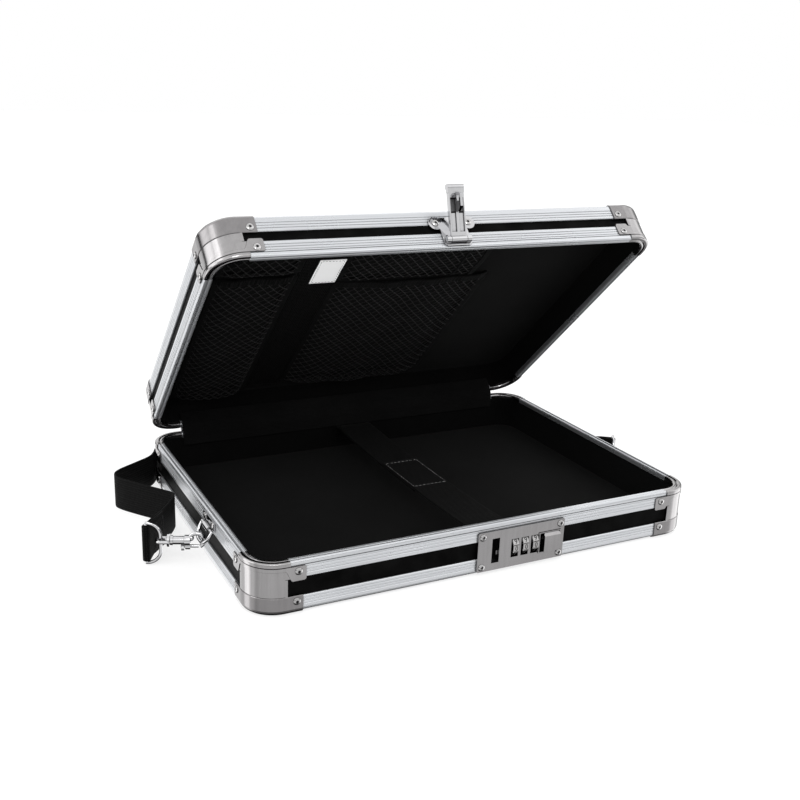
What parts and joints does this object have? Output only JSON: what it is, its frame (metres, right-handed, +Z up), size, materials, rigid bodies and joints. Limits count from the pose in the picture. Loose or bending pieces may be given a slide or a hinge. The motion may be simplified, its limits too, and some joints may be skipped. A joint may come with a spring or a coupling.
{
  "type": "storage clipboard case",
  "caption": "Aluminium-framed storage clipboard case, lid open: mesh pockets, outside spring clip, combination hasp lock, hold-down strap and clip-on shoulder strap.",
  "frame": {"origin": "centre of the base's footprint, on the surface the case stands on", "axes": "+X along the long side, to the right as seen from the lock; +Y from the lock side to the hinge; +Z up"},
  "size_m": [0.4326, 0.2904, 0.2642],
  "materials": {
    "panel_black": "fine-grained black laminate",
    "rail_alu": "brushed and anodised",
    "cap_nickel": "satin nickel",
    "steel_bright": "polished",
    "steel_plain": "satin",
    "lock_zinc": "satin nickel",
    "housing_black": "black",
    "lining": "black lining cloth",
    "webbing": "ribbed black webbing",
    "mesh": "open black mesh",
    "elastic": "ribbed black elastic",
    "label_white": "blank white",
    "grip_rubber": "matt black"
  },
  "bodies": {
    "case": {"base_floor_board": "panel_black", "base_wall_boards": "panel_black", "base_corner_posts": "panel_black", "base_lower_rails": "rail_alu", "base_rim_rails": "rail_alu", "base_lower_caps": "cap_nickel", "base_upper_caps": "cap_nickel", "base_rivets": "steel_bright", "base_lining": "lining", "hinge_base_leaf": "steel_plain", "hinge_pin": "steel_plain", "hinge_cover": "lining", "hold_down_rear": "webbing", "hold_down_front": "webbing", "lock_plate": "lock_zinc", "lock_screws": "steel_bright", "lock_housing": "housing_black", "dial_shaft": "steel_plain", "ring_bracket_left": "steel_bright", "ring_bracket_right": "steel_bright", "hook_swivel_left": "steel_bright", "hook_swivel_right": "steel_bright", "strap_dee_left": "steel_bright", "strap_dee_right": "steel_bright", "strap_webbing": "webbing", "strap_adjuster": "steel_bright"},
    "lid": {"lid_board": "panel_black", "lid_wall_boards": "panel_black", "lid_corner_posts": "panel_black", "lid_outer_rails": "rail_alu", "lid_rim_rails": "rail_alu", "lid_outer_caps": "cap_nickel", "lid_inner_caps": "cap_nickel", "lid_rivets": "steel_bright", "lid_lining": "lining", "hinge_lid_leaf": "steel_plain", "pocket_small": "mesh", "pocket_left": "mesh", "pocket_right": "mesh", "pocket_divider": "elastic", "blank_label": "label_white", "hasp_base": "steel_bright", "hasp_pin": "steel_bright", "clip_base": "steel_bright", "clip_pin": "steel_plain", "clip_spring": "steel_plain"},
    "hasp": {"hasp_lever": "steel_bright"},
    "clip": {"clip_jaw": "steel_bright", "clip_grip": "grip_rubber"},
    "dial_1_wheel": {"dial_1": "lock_zinc"},
    "dial_2_wheel": {"dial_2": "lock_zinc"},
    "dial_3_wheel": {"dial_3": "lock_zinc"},
    "latch_slide": {"lock_button": "lock_zinc", "lock_bolt": "lock_zinc"},
    "ring_left": {"strap_ring_left": "steel_bright"},
    "ring_right": {"strap_ring_right": "steel_bright"},
    "hook_left": {"snap_hook_left": "steel_bright"},
    "hook_right": {"snap_hook_right": "steel_bright"},
    "gate_left": {"hook_gate_left": "steel_bright"},
    "gate_right": {"hook_gate_right": "steel_bright"}
  },
  "joints": [
    {"name": "lid_hinge", "type": "hinge", "parent": "case", "child": "lid", "pos_m": [0, 0.1342, 0.0382], "axis": [-1, 0, 0], "range_deg": [-43.4, 51.6], "deforming": ["hinge_cover"]},
    {"name": "hasp_hinge", "type": "hinge", "parent": "lid", "child": "hasp", "pos_m": [0, -0.05768, 0.22681], "axis": [-1, 0, 0], "range_deg": [-151, 9]},
    {"name": "clip_hinge", "type": "hinge", "parent": "lid", "child": "clip", "pos_m": [0.144, 0.06212, 0.15729], "axis": [0, 0.7266, -0.6871], "range_deg": [0, 14], "stiffness_Nm_per_rad": 2.2, "springref_deg": -20.05, "deforming": ["clip_spring"]},
    {"name": "dial_1_spin", "type": "hinge", "parent": "case", "child": "dial_1_wheel", "pos_m": [0.0162, -0.1269, 0.0167], "axis": [1, 0, 0], "continuous": true},
    {"name": "dial_2_spin", "type": "hinge", "parent": "case", "child": "dial_2_wheel", "pos_m": [0.0246, -0.1269, 0.0167], "axis": [1, 0, 0], "continuous": true},
    {"name": "dial_3_spin", "type": "hinge", "parent": "case", "child": "dial_3_wheel", "pos_m": [0.033, -0.1269, 0.0167], "axis": [1, 0, 0], "continuous": true},
    {"name": "latch_slide", "type": "slide", "parent": "case", "child": "latch_slide", "axis": [-1, 0, 0], "range_m": [0, 0.0026]},
    {"name": "ring_left_swing", "type": "hinge", "parent": "case", "child": "ring_left", "pos_m": [-0.18225, -0.041, 0.028], "axis": [0, 1, 0], "range_deg": [0, 10]},
    {"name": "ring_right_swing", "type": "hinge", "parent": "case", "child": "ring_right", "pos_m": [0.18225, -0.041, 0.028], "axis": [0, -1, 0], "range_deg": [0, 10]},
    {"name": "hook_left_swivel", "type": "hinge", "parent": "case", "child": "hook_left", "pos_m": [-0.18791, -0.041, 0.01857], "axis": [-0.9272, 0.3746, 0], "range_deg": [-15, 15]},
    {"name": "gate_left_slide", "type": "slide", "parent": "hook_left", "child": "gate_left", "axis": [-0.9272, 0.3746, 0], "range_m": [0, 0.004], "stiffness_N_per_m": 300, "springref_m": -0.004},
    {"name": "hook_right_swivel", "type": "hinge", "parent": "case", "child": "hook_right", "pos_m": [0.18648, -0.03258, 0.02096], "axis": [0.5, 0.866, 0], "range_deg": [-15, 15]},
    {"name": "gate_right_slide", "type": "slide", "parent": "hook_right", "child": "gate_right", "axis": [0.5, 0.866, 0], "range_m": [0, 0.004], "stiffness_N_per_m": 300, "springref_m": -0.004}
  ]
}
